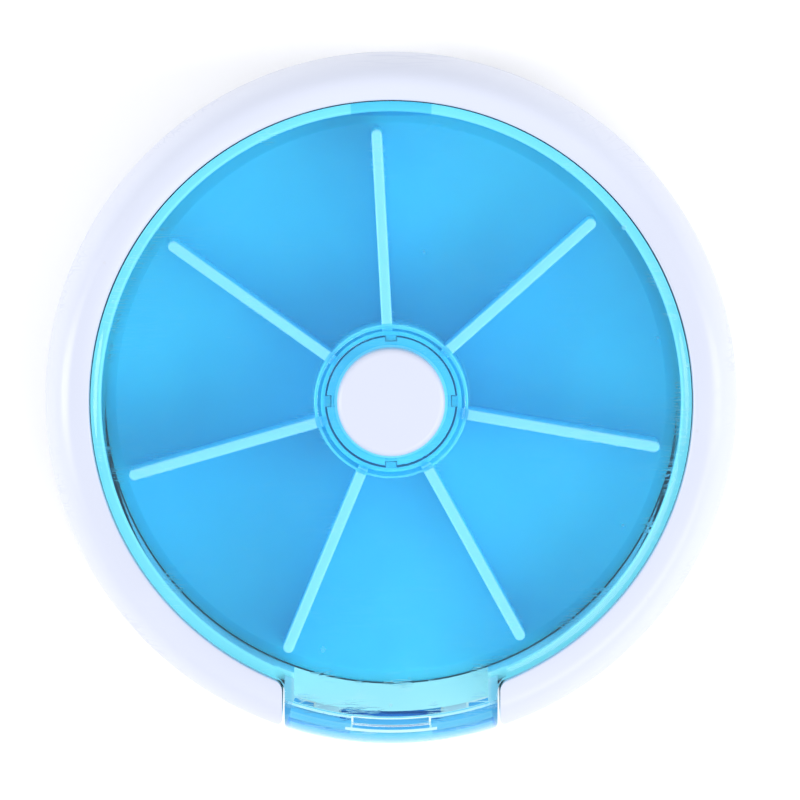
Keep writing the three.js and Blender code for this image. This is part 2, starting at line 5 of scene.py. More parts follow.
import bpy
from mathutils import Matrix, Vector


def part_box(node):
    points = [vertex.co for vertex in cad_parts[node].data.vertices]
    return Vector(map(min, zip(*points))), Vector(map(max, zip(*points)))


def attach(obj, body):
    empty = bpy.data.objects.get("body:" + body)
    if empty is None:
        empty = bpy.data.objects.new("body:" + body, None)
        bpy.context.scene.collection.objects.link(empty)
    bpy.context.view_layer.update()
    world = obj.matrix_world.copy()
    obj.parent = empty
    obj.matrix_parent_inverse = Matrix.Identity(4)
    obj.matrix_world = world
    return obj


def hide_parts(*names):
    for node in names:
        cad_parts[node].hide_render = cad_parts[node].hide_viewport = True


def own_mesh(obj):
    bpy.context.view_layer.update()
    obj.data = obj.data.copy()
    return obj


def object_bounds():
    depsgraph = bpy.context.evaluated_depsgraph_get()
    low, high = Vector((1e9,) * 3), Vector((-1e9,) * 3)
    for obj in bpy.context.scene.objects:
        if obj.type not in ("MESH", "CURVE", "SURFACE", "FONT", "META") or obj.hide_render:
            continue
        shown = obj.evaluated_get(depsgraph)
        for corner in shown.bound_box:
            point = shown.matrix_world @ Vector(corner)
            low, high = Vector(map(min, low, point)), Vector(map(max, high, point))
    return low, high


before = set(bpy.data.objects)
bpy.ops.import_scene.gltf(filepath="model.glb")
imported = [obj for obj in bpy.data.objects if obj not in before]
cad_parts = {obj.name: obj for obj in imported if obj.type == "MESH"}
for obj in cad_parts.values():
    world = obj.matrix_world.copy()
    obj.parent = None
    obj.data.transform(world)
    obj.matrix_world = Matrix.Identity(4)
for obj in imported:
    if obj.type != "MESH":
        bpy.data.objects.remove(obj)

MM = 0.001
packed_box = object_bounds()


# ---- Sizes, in millimetres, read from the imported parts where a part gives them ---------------


def high(node, axis):
    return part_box(node)[1][axis] / MM


CASE_RADIUS = high("ring_bezel", 0)
RIM_TOP = high("ring_bezel", 2)
SPLIT = 11.5
GAP = 0.3
SIDE_GAP = 0.35
PAN_TOP = SPLIT - GAP
BORE = CASE_RADIUS - 5.9
CREST = BORE + 1.9
LIP = BORE + 1.4
FOOT = CASE_RADIUS - 7.5
WALL = 1.8
ROUNDNESS = 2.4
SPIGOT = 4.0
SLOT_START, SLOT_END = 35.0, 40.3

LID_RADIUS = BORE - GAP
LID_EDGE = BORE - 0.15
WELL = LID_RADIUS - 1.4
LID_TOP = RIM_TOP - 0.4
LID_UNDER = LID_TOP - 1.5
SHOULDER_RUN = 2.0
SHOULDER_DROP = 0.9
SKIRT = LID_UNDER - 0.9
DISH_TOP = LID_TOP - 1.2
COLLAR_BOTTOM = DISH_TOP - 1.2
DISH_RADIUS = 9.53
HOLE_RADIUS = 7.36
TONGUE_RADIUS = BORE + 1.9
CATCH_HALF = 5.15
HOOK_HALF = 5.2
WELL_TOP = SKIRT - 0.6

NECK_HALF = 12.6
NECK_OUTER = NECK_HALF + 1.2
NOTCH_HALF = NECK_OUTER + SIDE_GAP
NECK_TOP = LID_UNDER - GAP
NECK_CORNER = 1.7
NOTCH_CORNER = 1.0
DOOR_INNER = TONGUE_RADIUS + GAP
DOOR_CORNER = 1.3
DOOR_WALL = 1.1
DOOR_LIP = 0.8
LEDGE_TOP = 21.2
DOOR_BOTTOM = 2.5
PIN_Y = -(CASE_RADIUS - 3.4)
PIN_Z = 2.8
KNUCKLE = 1.3
KNUCKLE_HALF = 6.5
LUG_START = KNUCKLE_HALF + GAP
LUG_LENGTH = 3.0
LUG_REACH = 3.7
PIN_BORE = 0.65
HINGE_ROOM_HALF, HINGE_ROOM_TOP = 12.0, 4.4

WHEEL_BOTTOM = 2.3
TRAY_BOTTOM = 4.2
FLOOR_TOP = TRAY_BOTTOM + 1.4
TRAY_RADIUS = WELL - 0.08
DIVIDER_TOP = high("tray", 2)
DIVIDER_REACH = WELL - 2.1
DIVIDER_HALF = 0.7
DIVIDER_ROOT = 9.35
FIRST_DIVIDER = 93.1
COMPARTMENTS = 7
HUB_RADIUS = 10.0
HUB_BORE = 8.7
HUB_TOP = COLLAR_BOTTOM - 0.5
CHUTE_TOP = FLOOR_TOP - 0.2
POST_TOP = FLOOR_TOP + 0.3
POST_RADIUS, POST_BORE = 3.2, 1.4
BEARING_RADIUS = 3.5
BOSS_RADIUS, BOSS_FLAT = 6.0, 5.2
FUSE = TRAY_BOTTOM + 0.7
COLLAR_ROOM = 10.13
KEY_HALF, KEY_REACH = 0.7, 0.8
SLOT_HALF, SLOT_REACH = 0.78, 0.9

BUTTON_RADIUS = 7.0
BUTTON_TOP = high("hub_button", 2)
BUTTON_BORE = 6.0
FLANGE_RADIUS = 8.4
FLANGE_TOP = 20.6
FLANGE_UNDER = FLANGE_TOP - 1.2
PLATE_UNDER = 23.6

PANEL_Y = -22.3
PANEL_HALF_X = 8.0
PANEL_HALF_Y = 2.3
PANEL_CORNER = 1.0
PANEL_LINE = 0.35
PANEL_RISE = 0.14

FRONT = -(CASE_RADIUS + 2)
ROUND_STEPS = 192
FILLET_STEPS = 4


# ---- Modelling steps -------------------------------------------------------------------------

def clear_selection():
    bpy.ops.object.select_all(action="DESELECT")


def settle(name):
    """Names the new object and moves its place into its mesh."""
    bpy.ops.object.transform_apply(location=True, rotation=True, scale=True)
    piece = bpy.context.object
    piece.name = piece.data.name = name
    return piece


def block(name, corner, far):
    clear_selection()
    middle = [(a + b) / 2 * MM for a, b in zip(corner, far)]
    size = [(b - a) * MM for a, b in zip(corner, far)]
    bpy.ops.mesh.primitive_cube_add(size=1, location=middle, scale=size)
    return settle(name)


def round_bar(name, radius, start, end, place, along="Z", sides=64):
    """A bar along X or Z between two distances, at its place across them."""
    clear_selection()
    middle = (start + end) / 2
    spot = (middle, *place) if along == "X" else (*place, middle)
    turn = (0, math.pi / 2, 0) if along == "X" else (0, 0, 0)
    bpy.ops.mesh.primitive_cylinder_add(
        vertices=sides, radius=radius * MM, depth=(end - start) * MM,
        location=[v * MM for v in spot], rotation=turn,
    )
    return settle(name)


def drum(name, radius, bottom, top, sides=ROUND_STEPS):
    """A smooth upright bar on the case's axis."""
    return round_bar(name, radius, bottom, top, (0, 0), sides=sides)


def trace(name, points):
    """Draws a closed line through the points by extruding one corner along them."""
    clear_selection()
    bpy.ops.mesh.primitive_plane_add(size=MM)
    piece = settle(name)
    bpy.ops.object.mode_set(mode="EDIT")
    bpy.ops.mesh.select_mode(type="VERT")
    bpy.ops.mesh.select_all(action="SELECT")
    bpy.ops.mesh.merge(type="CENTER")
    here = Vector(points[0]) * MM
    bpy.ops.transform.translate(value=here)
    for point in points[1:]:
        there = Vector(point) * MM
        step = {"value": there - here}
        bpy.ops.mesh.extrude_region_move(TRANSFORM_OT_translate=step)
        here = there
    return piece


def face_outwards():
    bpy.ops.mesh.select_all(action="SELECT")
    bpy.ops.mesh.normals_make_consistent(inside=False)
    bpy.ops.object.mode_set(mode="OBJECT")


def close_up():
    bpy.ops.mesh.select_all(action="SELECT")
    bpy.ops.mesh.remove_doubles(threshold=0.002 * MM)
    face_outwards()


def turned(name, profile, steps=ROUND_STEPS):
    """Spins a section of (radius, height) points round the upright axis."""
    loop = profile if profile[0][0] == 0 else [*profile, profile[0]]
    piece = trace(name, [(radius, 0, height) for radius, height in loop])
    bpy.ops.mesh.select_all(action="SELECT")
    bpy.ops.mesh.spin(steps=steps, angle=2 * math.pi, center=(0, 0, 0), axis=(0, 0, 1))
    close_up()
    return piece


def fill_and_pull(way):
    """Fills the closed line just drawn and extrudes the face by a distance."""
    bpy.ops.mesh.select_all(action="SELECT")
    bpy.ops.mesh.remove_doubles(threshold=0.002 * MM)
    bpy.ops.mesh.edge_face_add()
    pull = {"value": Vector(way) * MM}
    bpy.ops.mesh.extrude_region_move(TRANSFORM_OT_translate=pull)
    close_up()


def prism(name, outline, bottom, top):
    """Fills an outline of (x, y) points and extrudes it upwards."""
    piece = trace(name, [(x, y, bottom) for x, y in [*outline, outline[0]]])
    fill_and_pull((0, 0, top - bottom))
    return piece


def combine(piece, tool, operation):
    clear_selection()
    bpy.context.view_layer.objects.active = piece
    piece.select_set(True)
    join = piece.modifiers.new(operation.title(), "BOOLEAN")
    join.operation, join.object, join.solver = operation, tool, "EXACT"
    bpy.ops.object.modifier_apply(modifier=join.name)
    bpy.data.objects.remove(tool)
    bpy.ops.object.mode_set(mode="EDIT")
    face_outwards()
    return piece


def cut(piece, *tools):
    for tool in tools:
        combine(piece, tool, "DIFFERENCE")
    return piece


def add(piece, *tools):
    for tool in tools:
        combine(piece, tool, "UNION")
    return piece


def common(piece, tool):
    return combine(piece, tool, "INTERSECT")


def soften(piece, width, keep):
    """Rounds the sharp edges whose middle the test keeps, by its place in millimetres."""
    clear_selection()
    bpy.context.view_layer.objects.active = piece
    piece.select_set(True)
    bpy.ops.object.mode_set(mode="EDIT")
    bpy.ops.mesh.select_mode(type="EDGE")
    bpy.ops.mesh.select_all(action="DESELECT")
    bpy.ops.mesh.edges_select_sharp(sharpness=math.radians(40))
    bpy.ops.object.mode_set(mode="OBJECT")
    spots = piece.data.vertices
    for edge in piece.data.edges:
        middle = sum((spots[v].co for v in edge.vertices), Vector()) / (2 * MM)
        edge.select = edge.select and keep(middle)
    bpy.ops.object.mode_set(mode="EDIT")
    bpy.ops.mesh.bevel(offset=width * MM, segments=3, affect="EDGES", clamp_overlap=False)
    close_up()


def polish(piece, crease=32):
    """Smooth shading that keeps the creases crisp and the flats flat."""
    clear_selection()
    bpy.context.view_layer.objects.active = piece
    piece.select_set(True)
    bpy.ops.object.shade_smooth_by_angle(angle=math.radians(crease))
    even = piece.modifiers.new("Even", "WEIGHTED_NORMAL")
    even.keep_sharp = True
    even.weight = 100
    bpy.ops.object.modifier_apply(modifier=even.name)


# ---- Outlines --------------------------------------------------------------------------------

def fillets(corners):
    """A section from (radius, height, fillet) corners, each turned into a short arc."""
    points = []
    count = len(corners)
    for i, (x, z, fillet) in enumerate(corners):
        here = Vector((x, z))
        if not fillet:
            points.append((x, z))
            continue
        back = (Vector(corners[i - 1][:2]) - here)
        ahead = (Vector(corners[(i + 1) % count][:2]) - here)
        half = back.angle(ahead) / 2
        run = min(fillet / math.tan(half), back.length * 0.45, ahead.length * 0.45)
        radius = run * math.tan(half)
        inward = (back.normalized() + ahead.normalized()).normalized()
        centre = here + inward * radius / math.sin(half)
        first = here + back.normalized() * run - centre
        sweep = first.angle_signed(here + ahead.normalized() * run - centre)
        for step in range(FILLET_STEPS + 1):
            turn = -sweep * step / FILLET_STEPS
            arm = Vector((
                first.x * math.cos(turn) - first.y * math.sin(turn),
                first.x * math.sin(turn) + first.y * math.cos(turn),
            ))
            points.append(tuple(centre + arm))
    return points


def rounded_wall(centre, wide, height, rise, steps=20):
    """The case's curved side wall: a quarter of a fuller-than-round oval."""
    points = []
    for step in range(steps + 1):
        turn = math.pi / 2 * step / steps
        out = max(math.sin(turn), 0) ** (2 / ROUNDNESS)
        up = max(math.cos(turn), 0) ** (2 / ROUNDNESS) if step < steps else 0
        points.append((centre + wide * out, height + rise * up))
    return points


def upper_wall(inset):
    return rounded_wall(CREST, CASE_RADIUS - CREST - inset, SPLIT, RIM_TOP - SPLIT - inset)


def lower_wall(inset, height):
    return rounded_wall(FOOT, CASE_RADIUS - FOOT - inset, height, inset - height)


def arc(centre, radius, start, end, steps=10):
    points = []
    for step in range(steps + 1):
        turn = start + (end - start) * step / steps
        points.append((centre[0] + radius * math.cos(turn), centre[1] + radius * math.sin(turn)))
    return points


def both_sides(points):
    """The same outline on both sides of the middle, from its points on the +X side."""
    return [(-x, y) for x, y in reversed(points) if x] + points


def corner_at(x, distance):
    return (x, -math.sqrt(distance ** 2 - x ** 2))


INNER_CORNER = corner_at(NOTCH_HALF + NECK_CORNER, BORE + NECK_CORNER)
OUTER_CORNER = corner_at(NOTCH_HALF + NOTCH_CORNER, CASE_RADIUS - NOTCH_CORNER)
INNER_TURN = math.atan2(-INNER_CORNER[1], -INNER_CORNER[0])


def notch_outline():
    outer_turn = math.atan2(OUTER_CORNER[1], OUTER_CORNER[0])
    inner = arc(INNER_CORNER, NECK_CORNER, math.pi, INNER_TURN)
    return both_sides([
        (OUTER_CORNER[0] + NOTCH_CORNER, -CASE_RADIUS * 1.2),
        *arc(OUTER_CORNER, NOTCH_CORNER, outer_turn, -math.pi),
        *inner,
        (inner[-1][0], -BORE * 0.7),
    ])


def tongue_outline():
    side = math.asin(NECK_OUTER / TONGUE_RADIUS) - math.pi / 2
    inner = arc(INNER_CORNER, NECK_CORNER + SIDE_GAP, math.pi, INNER_TURN)
    front = arc((0, 0), TONGUE_RADIUS, -math.pi / 2, side, 24)
    return both_sides([*front, *inner, (inner[-1][0], -BORE * 0.8)])


def door_outline():
    corner = corner_at(NECK_OUTER - DOOR_CORNER, CASE_RADIUS - DOOR_CORNER)
    side = math.atan2(corner[1], corner[0])
    return both_sides([
        *arc((0, 0), CASE_RADIUS + 1, -math.pi / 2, side, 24),
        *arc(corner, DOOR_CORNER, side, 0),
        (NECK_OUTER, -DOOR_INNER * 0.8),
    ])


def panel_outline(inset):
    """The rounded plan of the shallow blank panel on the lid."""
    across = PANEL_HALF_X - PANEL_CORNER
    near = (across, PANEL_Y - PANEL_HALF_Y + PANEL_CORNER)
    far = (across, PANEL_Y + PANEL_HALF_Y - PANEL_CORNER)
    bend = PANEL_CORNER - inset
    return both_sides([*arc(near, bend, -math.pi / 2, 0, 6), *arc(far, bend, 0, math.pi / 2, 6)])


# ---- White case ------------------------------------------------------------------------------

def case_ring():
    inside = rounded_wall(LIP, CASE_RADIUS - WALL - LIP, SPLIT, RIM_TOP - WALL - SPLIT)
    crest = [*reversed(upper_wall(0))]
    rim = fillets([
        (CREST, RIM_TOP, 0), ((CREST + BORE) / 2, RIM_TOP - 0.1, 0), (BORE, RIM_TOP - 0.4, 0.35),
        (BORE, SPLIT - SPIGOT, 0.1), (LIP, SPLIT - SPIGOT, 0.1), (LIP, RIM_TOP - WALL, 0),
    ])
    ring = turned("case_ring", [*crest, *rim[1:-1], *inside])
    cut(ring, prism("notch", notch_outline(), -1, RIM_TOP + 1))
    half = HOOK_HALF + SIDE_GAP
    return cut(ring, block("slot", (-half, SLOT_START, SKIRT - 0.6), (half, SLOT_END, SKIRT + 1.1)))


def pan_lug(side):
    """A hinge lug: a flat web that ends in a round eye, extruded sideways."""
    near, far = sorted((LUG_START * side, (LUG_START + LUG_LENGTH) * side))
    eye = arc((PIN_Y, PIN_Z), KNUCKLE, math.pi / 2, 3 * math.pi / 2, 24)
    web = [*eye, (PIN_Y + LUG_REACH, PIN_Z - KNUCKLE), (PIN_Y + LUG_REACH, PIN_Z + KNUCKLE)]
    lug = trace("lug", [(near, y, z) for y, z in [*web, web[0]]])
    fill_and_pull((far - near, 0, 0))
    return cut(lug, round_bar("bore", PIN_BORE, near - 1, far + 1, (PIN_Y, PIN_Z), "X", 32))


def case_pan():
    inside = rounded_wall(LID_RADIUS, CASE_RADIUS - WALL - LID_RADIUS, PAN_TOP, WALL - PAN_TOP)
    well = fillets([
        (LID_RADIUS, WALL, 0), (LID_RADIUS, WELL_TOP, 0.25), (WELL, WELL_TOP, 0.35), (WELL, WALL, 0.5),
        (POST_RADIUS, WALL, 0), (POST_RADIUS, POST_TOP, 0.15),
        (POST_BORE, POST_TOP, 0.1), (POST_BORE, WALL, 0),
    ])
    outside = lower_wall(0, PAN_TOP)
    pan = turned("case_pan", [(0, 0), *outside, *reversed(inside), *well[1:], (0, WALL)])
    keep = drum("keep", TONGUE_RADIUS, -2, RIM_TOP + 2)
    cut(pan, cut(prism("notch", notch_outline(), -1, RIM_TOP), keep))
    neck = block("neck", (-NECK_OUTER, FRONT, 0.01), (NECK_OUTER, -LID_RADIUS * 0.9, NECK_TOP))
    common(neck, drum("outside", TONGUE_RADIUS - 0.005, -1, RIM_TOP))
    cut(neck, drum("inside", WELL + 0.7, -2, RIM_TOP + 1, ROUND_STEPS + 4))
    for base in (pan, neck):
        cut(
            base,
            block("chute", (-NECK_HALF, FRONT, CHUTE_TOP), (NECK_HALF, -WELL * 0.85, RIM_TOP)),
            block(
                "hinge_room", (-HINGE_ROOM_HALF, FRONT, -1),
                (HINGE_ROOM_HALF, PIN_Y + 1.9, HINGE_ROOM_TOP),
            ),
        )
    add(pan, neck)
    for side in (1, -1):
        add(pan, pan_lug(side))
    return pan


# ---- Tray and button -------------------------------------------------------------------------

def divider(index):
    tip = arc((DIVIDER_REACH - DIVIDER_HALF, 0), DIVIDER_HALF, -math.pi / 2, math.pi / 2, 12)
    outline = [(DIVIDER_ROOT, -DIVIDER_HALF), *tip, (DIVIDER_ROOT, DIVIDER_HALF)]
    bar = prism("divider", outline, FUSE, DIVIDER_TOP)
    soften(bar, 0.28, lambda spot: spot.z > DIVIDER_TOP - 0.01 and spot.x > DIVIDER_ROOT + 0.05)
    clear_selection()
    bar.select_set(True)
    bpy.context.view_layer.objects.active = bar
    bar.rotation_euler.z = math.radians(FIRST_DIVIDER - 360 / COMPARTMENTS * index)
    bpy.ops.object.transform_apply(location=True, rotation=True, scale=True)
    return bar


def key_blocks(name, half, near, far, bottom, top):
    """Four small blocks round the hub, one on each side, between two distances from the axis."""
    blocks = []
    for side in (1, -1):
        start, end = sorted((side * near, side * far))
        blocks.append(block(name, (start, -half, bottom), (end, half, top)))
        blocks.append(block(name, (-half, start, bottom), (half, end, top)))
    return blocks


def dose_tray():
    body = turned("dose_tray", fillets([
        (BEARING_RADIUS, TRAY_BOTTOM, 0), (TRAY_RADIUS - 0.7, TRAY_BOTTOM, 0.2),
        (TRAY_RADIUS, FLOOR_TOP - 0.7, 0.15), (TRAY_RADIUS - 1.5, FLOOR_TOP, 0.6),
        (HUB_RADIUS, FLOOR_TOP, 0.4), (HUB_RADIUS, HUB_TOP, 0.2),
        (HUB_BORE, HUB_TOP, 0.2), (HUB_BORE, FLOOR_TOP, 0), (BEARING_RADIUS, FLOOR_TOP, 0),
    ]))
    flats = block("flats", (-7, -BOSS_FLAT, 1), (7, BOSS_FLAT, FUSE))
    boss = common(drum("boss", BOSS_RADIUS, WHEEL_BOTTOM, FUSE, 64), flats)
    cut(boss, drum("bearing", BEARING_RADIUS, 1, 5, 64))
    add(body, boss)
    for index in range(COMPARTMENTS):
        add(body, divider(index))
    add(body, *key_blocks("key", KEY_HALF, HUB_BORE - KEY_REACH, HUB_BORE + 0.65, FUSE, HUB_TOP - GAP))
    return cut(body, drum("collar_room", COLLAR_ROOM, HUB_TOP, RIM_TOP))


def centre_button():
    button = turned("centre_button", fillets([
        (0, BUTTON_TOP, 0), (BUTTON_RADIUS, BUTTON_TOP, 0.8), (BUTTON_RADIUS, FLANGE_TOP, 0.1),
        (FLANGE_RADIUS, FLANGE_TOP, 0.15), (FLANGE_RADIUS, FLANGE_UNDER, 0.15),
        (BUTTON_BORE, FLANGE_UNDER, 0.15), (BUTTON_BORE, PLATE_UNDER, 0.3), (0, PLATE_UNDER, 0),
    ]), 128)
    reach = HUB_BORE - SLOT_REACH
    return cut(button, *key_blocks("key_slot", SLOT_HALF, reach, 9.5, 19, FLANGE_TOP + 0.5))


def coil_spring():
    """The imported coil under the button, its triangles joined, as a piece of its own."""
    clear_selection()
    coil = bpy.data.objects.new("coil_spring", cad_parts["button_spring"].data.copy())
    bpy.context.scene.collection.objects.link(coil)
    bpy.context.view_layer.objects.active = coil
    coil.select_set(True)
    bpy.ops.object.mode_set(mode="EDIT")
    close_up()
    return coil


# ---- Clear lid and door ----------------------------------------------------------------------

def clear_lid():
    shoulder = []
    for step in range(1, 11):
        turn = math.pi / 2 * step / 10
        out = SHOULDER_RUN * (1 - math.sin(turn))
        down = SHOULDER_DROP * (1 - math.cos(turn))
        shoulder.append((LID_EDGE - out, LID_TOP - down))
    ring = fillets([
        (HOLE_RADIUS, COLLAR_BOTTOM, 0.15), (HOLE_RADIUS, DISH_TOP, 0.2),
        (DISH_RADIUS - 0.83, DISH_TOP, 0.3), (DISH_RADIUS, LID_TOP, 0.3),
        (LID_EDGE - SHOULDER_RUN, LID_TOP, 0),
    ])
    under = fillets([
        (LID_EDGE, LID_TOP - SHOULDER_DROP, 0), (LID_EDGE, SKIRT, 0.15),
        (WELL, SKIRT, 0.15), (WELL, LID_UNDER, 0.35), (DISH_RADIUS + 0.3, LID_UNDER, 0.25),
        (DISH_RADIUS, COLLAR_BOTTOM, 0.12), (HOLE_RADIUS, COLLAR_BOTTOM, 0),
    ])
    lid = turned("clear_lid", [*ring, *shoulder, *under[1:-1]])
    front = block("front_skirt", (-NOTCH_HALF, FRONT, SKIRT - 1), (NOTCH_HALF, -WELL * 0.9, LID_UNDER))
    cut(lid, front)
    tongue = prism("tongue", tongue_outline(), LID_UNDER, LID_TOP)
    soften(tongue, 0.22, lambda spot: spot.z > LID_TOP - 0.01 and spot.y < -BORE * 0.8 - 0.1)
    add(lid, tongue)
    catch = block("catch", (-CATCH_HALF, FRONT, LID_UNDER - 1.2), (CATCH_HALF, 0, LID_UNDER + 0.5))
    common(catch, drum("catch_out", TONGUE_RADIUS, 0, RIM_TOP))
    cut(catch, drum("catch_in", TONGUE_RADIUS - 0.8, -1, RIM_TOP + 1))
    back = WELL - 0.3
    hook = block("hook", (-HOOK_HALF, back, SKIRT), (HOOK_HALF, LID_RADIUS + 1.2, SKIRT + 0.8))
    root = block("root", (-HOOK_HALF, back, SKIRT), (HOOK_HALF, LID_RADIUS - 0.3, LID_UNDER + 0.75))
    soften(root, 0.8, lambda spot: abs(abs(spot.x) - HOOK_HALF) < 0.01 and abs(spot.y - back) < 0.01)
    common(root, drum("edge", LID_RADIUS - 0.02, 0, RIM_TOP))
    add(lid, catch, root, hook)
    add(lid, prism("panel", panel_outline(0), LID_TOP - 0.4, LID_TOP + PANEL_RISE))
    return cut(lid, prism("panel_inside", panel_outline(PANEL_LINE), LID_TOP - 0.03, LID_TOP + 0.5))


def wall_section(name, inset, inner, bottom, top):
    upper = [p for p in upper_wall(inset) if p[0] > inner]
    below = [*reversed(lower_wall(inset, SPLIT))][1:]
    lower = [p for p in below if p[0] > inner and p[1] > bottom]
    return turned(name, [(inner, top), *upper, *lower, (lower[-1][0], bottom), (inner, bottom)])


def door_band(inner, start, end):
    """A stretch of the upright lip, between two distances across the door."""
    band = drum("band", inner + DOOR_LIP, RIM_TOP - 5, RIM_TOP - DOOR_WALL / 2)
    cut(band, drum("band_in", inner, 10, 30))
    return common(band, block("stretch", (start, FRONT, 0), (end, 0, RIM_TOP + 2)))


def snap_ledge():
    """The small ledge under the nail notch, behind the lid's catch."""
    half = CATCH_HALF - 0.25
    ledge = drum("ledge", DOOR_INNER + DOOR_LIP + 0.3, LEDGE_TOP - 0.9, LEDGE_TOP)
    cut(ledge, drum("ledge_in", DOOR_INNER + 0.06, 10, 30))
    return common(ledge, block("stretch", (-half, FRONT, 0), (half, 0, RIM_TOP)))


def clear_door():
    door = wall_section("clear_door", 0, DOOR_INNER, DOOR_BOTTOM, RIM_TOP)
    common(door, prism("door_plan", door_outline(), 0, RIM_TOP + 1))
    half = NECK_OUTER - DOOR_WALL
    hollow = wall_section("hollow", DOOR_WALL, DOOR_INNER - 1, DOOR_BOTTOM - 1, RIM_TOP - DOOR_WALL)
    common(hollow, block("span", (-half, FRONT, 0), (half, 0, RIM_TOP + 2)))
    cut(door, hollow)
    pin = (PIN_Y, PIN_Z)
    cut(door, round_bar("bore", PIN_BORE, -NECK_OUTER - 1, NECK_OUTER + 1, pin, "X", 32))
    knuckle = round_bar("knuckle", KNUCKLE, 0.03 - KNUCKLE_HALF, KNUCKLE_HALF - 0.03, pin, "X", 46)
    add(door, cut(knuckle, round_bar("bore", PIN_BORE, -NECK_OUTER, NECK_OUTER, pin, "X", 32)))
    nail = block("nail", (-CATCH_HALF, FRONT, RIM_TOP - 3), (CATCH_HALF, -20, RIM_TOP + 1))
    common(nail, drum("nail_in", DOOR_INNER + DOOR_LIP + 0.05, 10, RIM_TOP + 2))
    cut(door, nail)
    for side in (1, -1):
        near, far = sorted((KNUCKLE_HALF * side, (LUG_START + LUG_LENGTH + 0.3) * side))
        cut(door, round_bar("lug_room", KNUCKLE + GAP, near, far, pin, "X", 48))
    wing = NECK_OUTER - 0.3
    add(
        door,
        door_band(DOOR_INNER + DOOR_LIP, -CATCH_HALF - DOOR_LIP, CATCH_HALF + DOOR_LIP),
        door_band(DOOR_INNER + 0.003, -wing, -CATCH_HALF - 0.04),
        door_band(DOOR_INNER + 0.003, CATCH_HALF + 0.04, wing),
        snap_ledge(),
    )
    return door


ring = case_ring()
pan = case_pan()
tray = dose_tray()
button = centre_button()
coil = coil_spring()
lid = clear_lid()
door = clear_door()

for piece in (ring, pan, tray, button, coil, lid, door):
    polish(piece)


# ---- Shared surface effects ------------------------------------------------------------------

def node_of(tree, kind, **inputs):
    node = tree.nodes.new(kind)
    for name, value in inputs.items():
        socket = node.inputs[name.replace("_", " ")]
        if hasattr(value, "is_output"):
            tree.links.new(value, socket)
        else:
            socket.default_value = value
    return node


def math_of(tree, operation, first, second=0.5):
    node = tree.nodes.new("ShaderNodeMath")
    node.operation = operation
    for socket, value in zip(node.inputs, (first, second)):
        if hasattr(value, "is_output"):
            tree.links.new(value, socket)
        else:
            socket.default_value = value
    return node.outputs[0]


def span_of(tree, value, start, end, low_value=0.0, high_value=1.0):
    node = tree.nodes.new("ShaderNodeMapRange")
    node.interpolation_type = "SMOOTHSTEP"
    tree.links.new(value, node.inputs["Value"])
    names = ("From Min", "From Max", "To Min", "To Max")
    for name, number in zip(names, (start, end, low_value, high_value)):
        node.inputs[name].default_value = number
    return node.outputs["Result"]


def new_group(name, inputs, outputs):
    tree = bpy.data.node_groups.new(name, "ShaderNodeTree")
    plain = "NodeSocketFloat"
    for label, value in inputs.items():
        socket = tree.interface.new_socket(label, in_out="INPUT", socket_type=plain)
        socket.default_value = value
    for label in outputs:
        tree.interface.new_socket(label, in_out="OUTPUT", socket_type=plain)
    return tree, tree.nodes.new("NodeGroupInput"), tree.nodes.new("NodeGroupOutput")


def handling_marks():
    """Hairline scratches, dust specks and broad soft patches on a handled surface."""
    tree, given, out = new_group(
        "handling_marks", {"Scratch Scale": 60.0, "Speck Scale": 260.0, "Patch Scale": 30.0},
        ("Scratches", "Specks", "Patches"),
    )
    place = tree.nodes.new("ShaderNodeTexCoord").outputs["Object"]
    lines = []
    fineness = given.outputs["Scratch Scale"]
    for turn, stretch in ((0.5, 9.0), (2.0, 7.0), (2.9, 11.0)):
        aim = node_of(
            tree, "ShaderNodeMapping", Vector=place, Rotation=(0, 0, turn), Scale=(1.0, stretch, 1.0),
        )
        grain = node_of(
            tree, "ShaderNodeTexNoise", Vector=aim.outputs[0], Scale=fineness, Detail=1.0,
        )
        off = math_of(tree, "ABSOLUTE", math_of(tree, "SUBTRACT", grain.outputs["Fac"], 0.5))
        lines.append(span_of(tree, off, 0.024, 0.006))
    some = math_of(tree, "MAXIMUM", math_of(tree, "MAXIMUM", lines[0], lines[1]), lines[2])
    where = node_of(tree, "ShaderNodeTexNoise", Vector=place, Scale=fineness, Detail=2.0)
    scratches = math_of(tree, "MULTIPLY", some, span_of(tree, where.outputs["Fac"], 0.50, 0.60))
    cells = node_of(tree, "ShaderNodeTexVoronoi", Vector=place, Scale=given.outputs["Speck Scale"])
    spots = span_of(tree, cells.outputs["Distance"], 0.10, 0.05)
    chance = node_of(tree, "ShaderNodeSeparateColor", Color=cells.outputs["Color"])
    rare = math_of(tree, "GREATER_THAN", chance.outputs["Red"], 0.86)
    specks = math_of(tree, "MULTIPLY", spots, rare)
    breadth = given.outputs["Patch Scale"]
    patch = node_of(tree, "ShaderNodeTexNoise", Vector=place, Scale=breadth, Detail=3.0)
    found = {"Scratches": scratches, "Specks": specks, "Patches": patch.outputs["Fac"]}
    for label, value in found.items():
        tree.links.new(value, out.inputs[label])
    return tree


def moulded_grain():
    """The faint orange-peel and fine grain that an injection mould leaves."""
    tree, given, out = new_group(
        "moulded_grain", {"Peel Scale": 500.0, "Grain Scale": 3500.0}, ("Height",),
    )
    place = tree.nodes.new("ShaderNodeTexCoord").outputs["Object"]
    broad, small = given.outputs["Peel Scale"], given.outputs["Grain Scale"]
    peel = node_of(tree, "ShaderNodeTexNoise", Vector=place, Scale=broad, Detail=1.0)
    grain = node_of(tree, "ShaderNodeTexNoise", Vector=place, Scale=small, Detail=2.0)
    faint = math_of(tree, "MULTIPLY", grain.outputs["Fac"], 0.4)
    tree.links.new(math_of(tree, "ADD", peel.outputs["Fac"], faint), out.inputs["Height"])
    return tree


MARKS = handling_marks()
GRAIN = moulded_grain()


